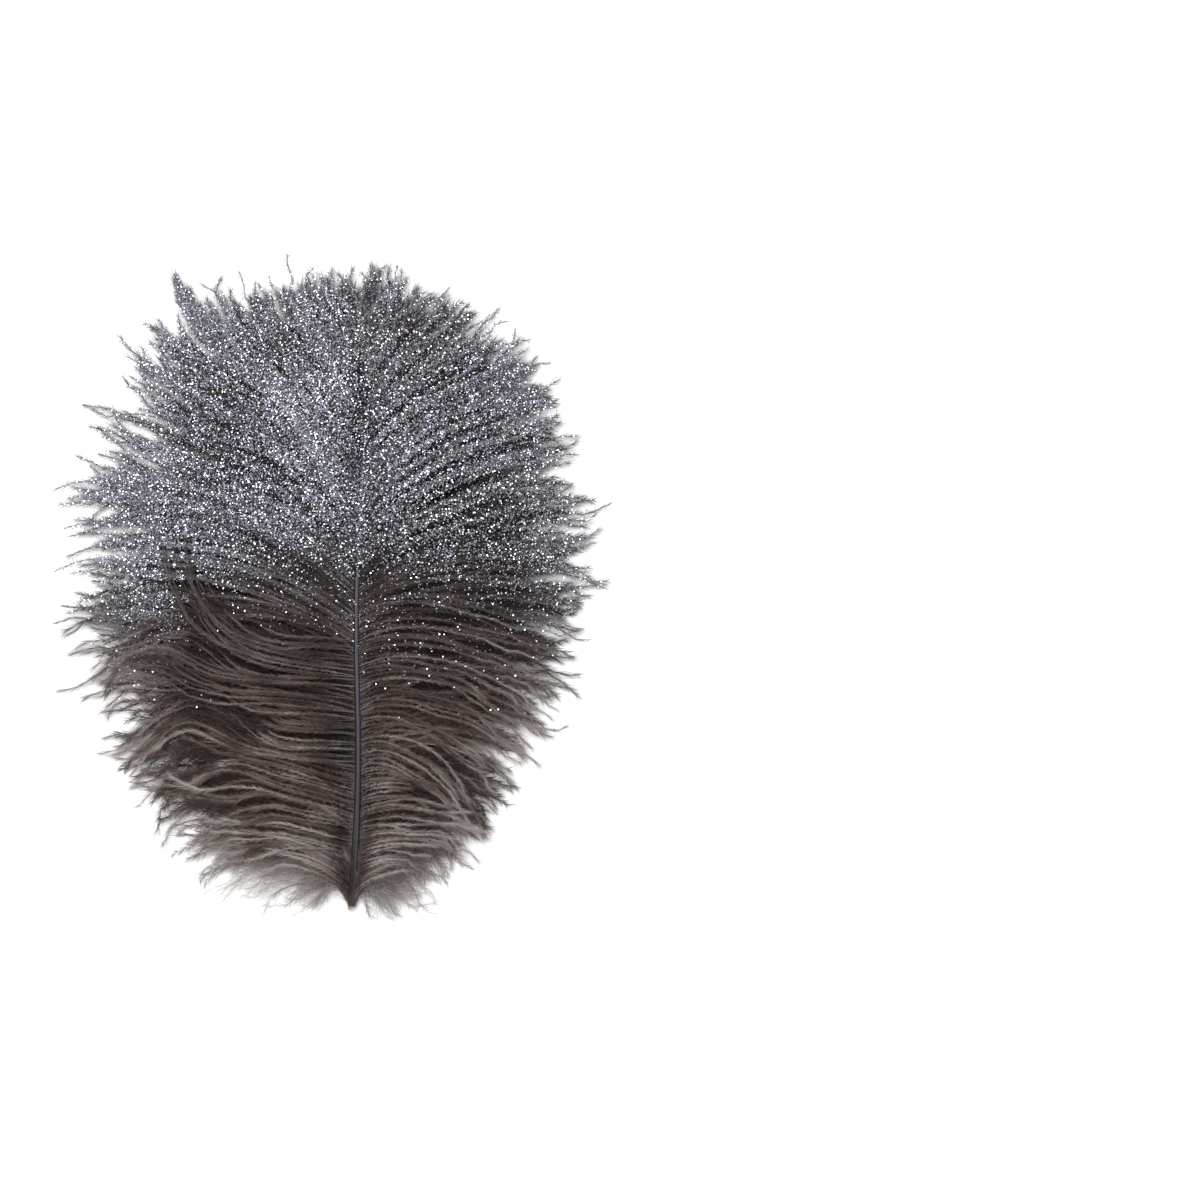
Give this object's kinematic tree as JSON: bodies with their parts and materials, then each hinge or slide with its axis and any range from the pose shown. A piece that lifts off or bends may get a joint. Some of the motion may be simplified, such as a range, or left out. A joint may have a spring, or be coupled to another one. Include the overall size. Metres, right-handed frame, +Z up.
{
  "type": "ostrich feather",
  "caption": "Dyed charcoal ostrich plume lying flat, with soft drooping barbs either side of a slim grooved shaft and silver glitter over its upper half.",
  "frame": {"origin": "centre of the feather's outline seen from above, on the surface it lies on", "axes": "+Y from the cut quill end toward the feather's tip, +X toward the right vane, +Z up from the surface"},
  "size_m": [0.1548, 0.1822, 0.0159],
  "materials": {
    "shaft_keratin": "smooth dyed keratin with a soft grey sheen, tan where it is cut",
    "dyed_barbs": "matte charcoal brown down, cooler grey toward the tip",
    "glitter": "fine bright silver flakes"
  },
  "bodies": {
    "root": {"shaft": "shaft_keratin", "left_vane": "dyed_barbs", "right_vane": "dyed_barbs"}
  },
  "joints": []
}
